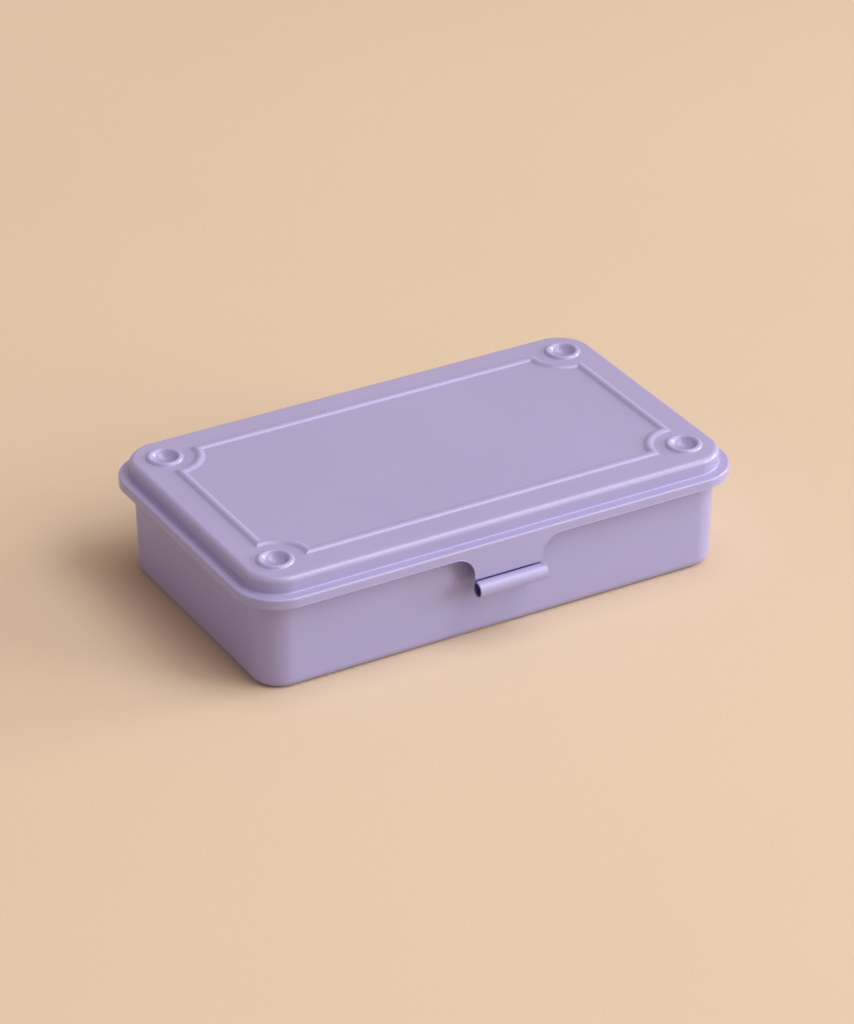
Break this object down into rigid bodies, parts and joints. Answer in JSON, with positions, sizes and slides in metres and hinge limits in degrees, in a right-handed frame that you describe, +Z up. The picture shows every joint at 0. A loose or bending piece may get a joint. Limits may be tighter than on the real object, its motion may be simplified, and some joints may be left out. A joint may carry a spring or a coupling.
{
  "type": "steel storage box",
  "caption": "Shallow pressed-steel storage box with a hinged lid, a raised bead and dimpled pips on top, and a front tongue latch with a rolled finger edge.",
  "frame": {"origin": "centre of the flat underside, on the surface that the box stands on", "axes": "+X along the long side, -Y towards the front latch, +Z up"},
  "size_m": [0.203, 0.1263, 0.0475],
  "materials": {
    "lilac_coat": "satin baked enamel, lilac, on drawn sheet steel",
    "pin_steel": "bright zinc-plated wire"
  },
  "bodies": {
    "box": {"box_body": "lilac_coat", "latch_catch": "lilac_coat", "hinge_left_box_leaf": "lilac_coat", "hinge_right_box_leaf": "lilac_coat", "hinge_left_pin": "pin_steel", "hinge_right_pin": "pin_steel"},
    "lid": {"lid": "lilac_coat", "hinge_left_lid_leaf": "lilac_coat", "hinge_right_lid_leaf": "lilac_coat"}
  },
  "joints": [
    {"name": "lid_hinge", "type": "hinge", "parent": "box", "child": "lid", "pos_m": [0, 0.0595, 0.0345], "axis": [-1, 0, 0], "range_deg": [0, 105]}
  ]
}
